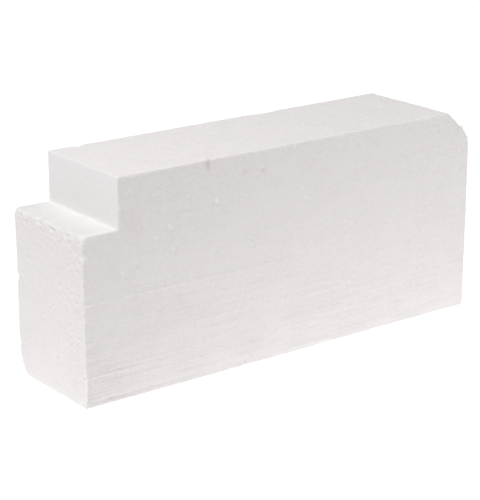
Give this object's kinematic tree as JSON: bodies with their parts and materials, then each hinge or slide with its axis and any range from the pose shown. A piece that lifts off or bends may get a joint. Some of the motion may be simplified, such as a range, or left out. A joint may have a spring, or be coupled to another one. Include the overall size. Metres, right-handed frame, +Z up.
{
  "type": "floral foam brick",
  "caption": "Rigid white bead-foam block with a step cut across one top end and a sloped top edge at the other, for floristry and craft work.",
  "frame": {"origin": "centre of the bottom face's bounding rectangle, on the surface the block stands on", "axes": "+X along the length, away from the stepped end; +Y across the width, from the front face to the back face; +Z up"},
  "size_m": [0.24, 0.06, 0.1085],
  "materials": {
    "bead_foam": "dull white moulded-bead foam, cut with a hot wire"
  },
  "bodies": {
    "root": {"foam_block": "bead_foam"}
  },
  "joints": []
}
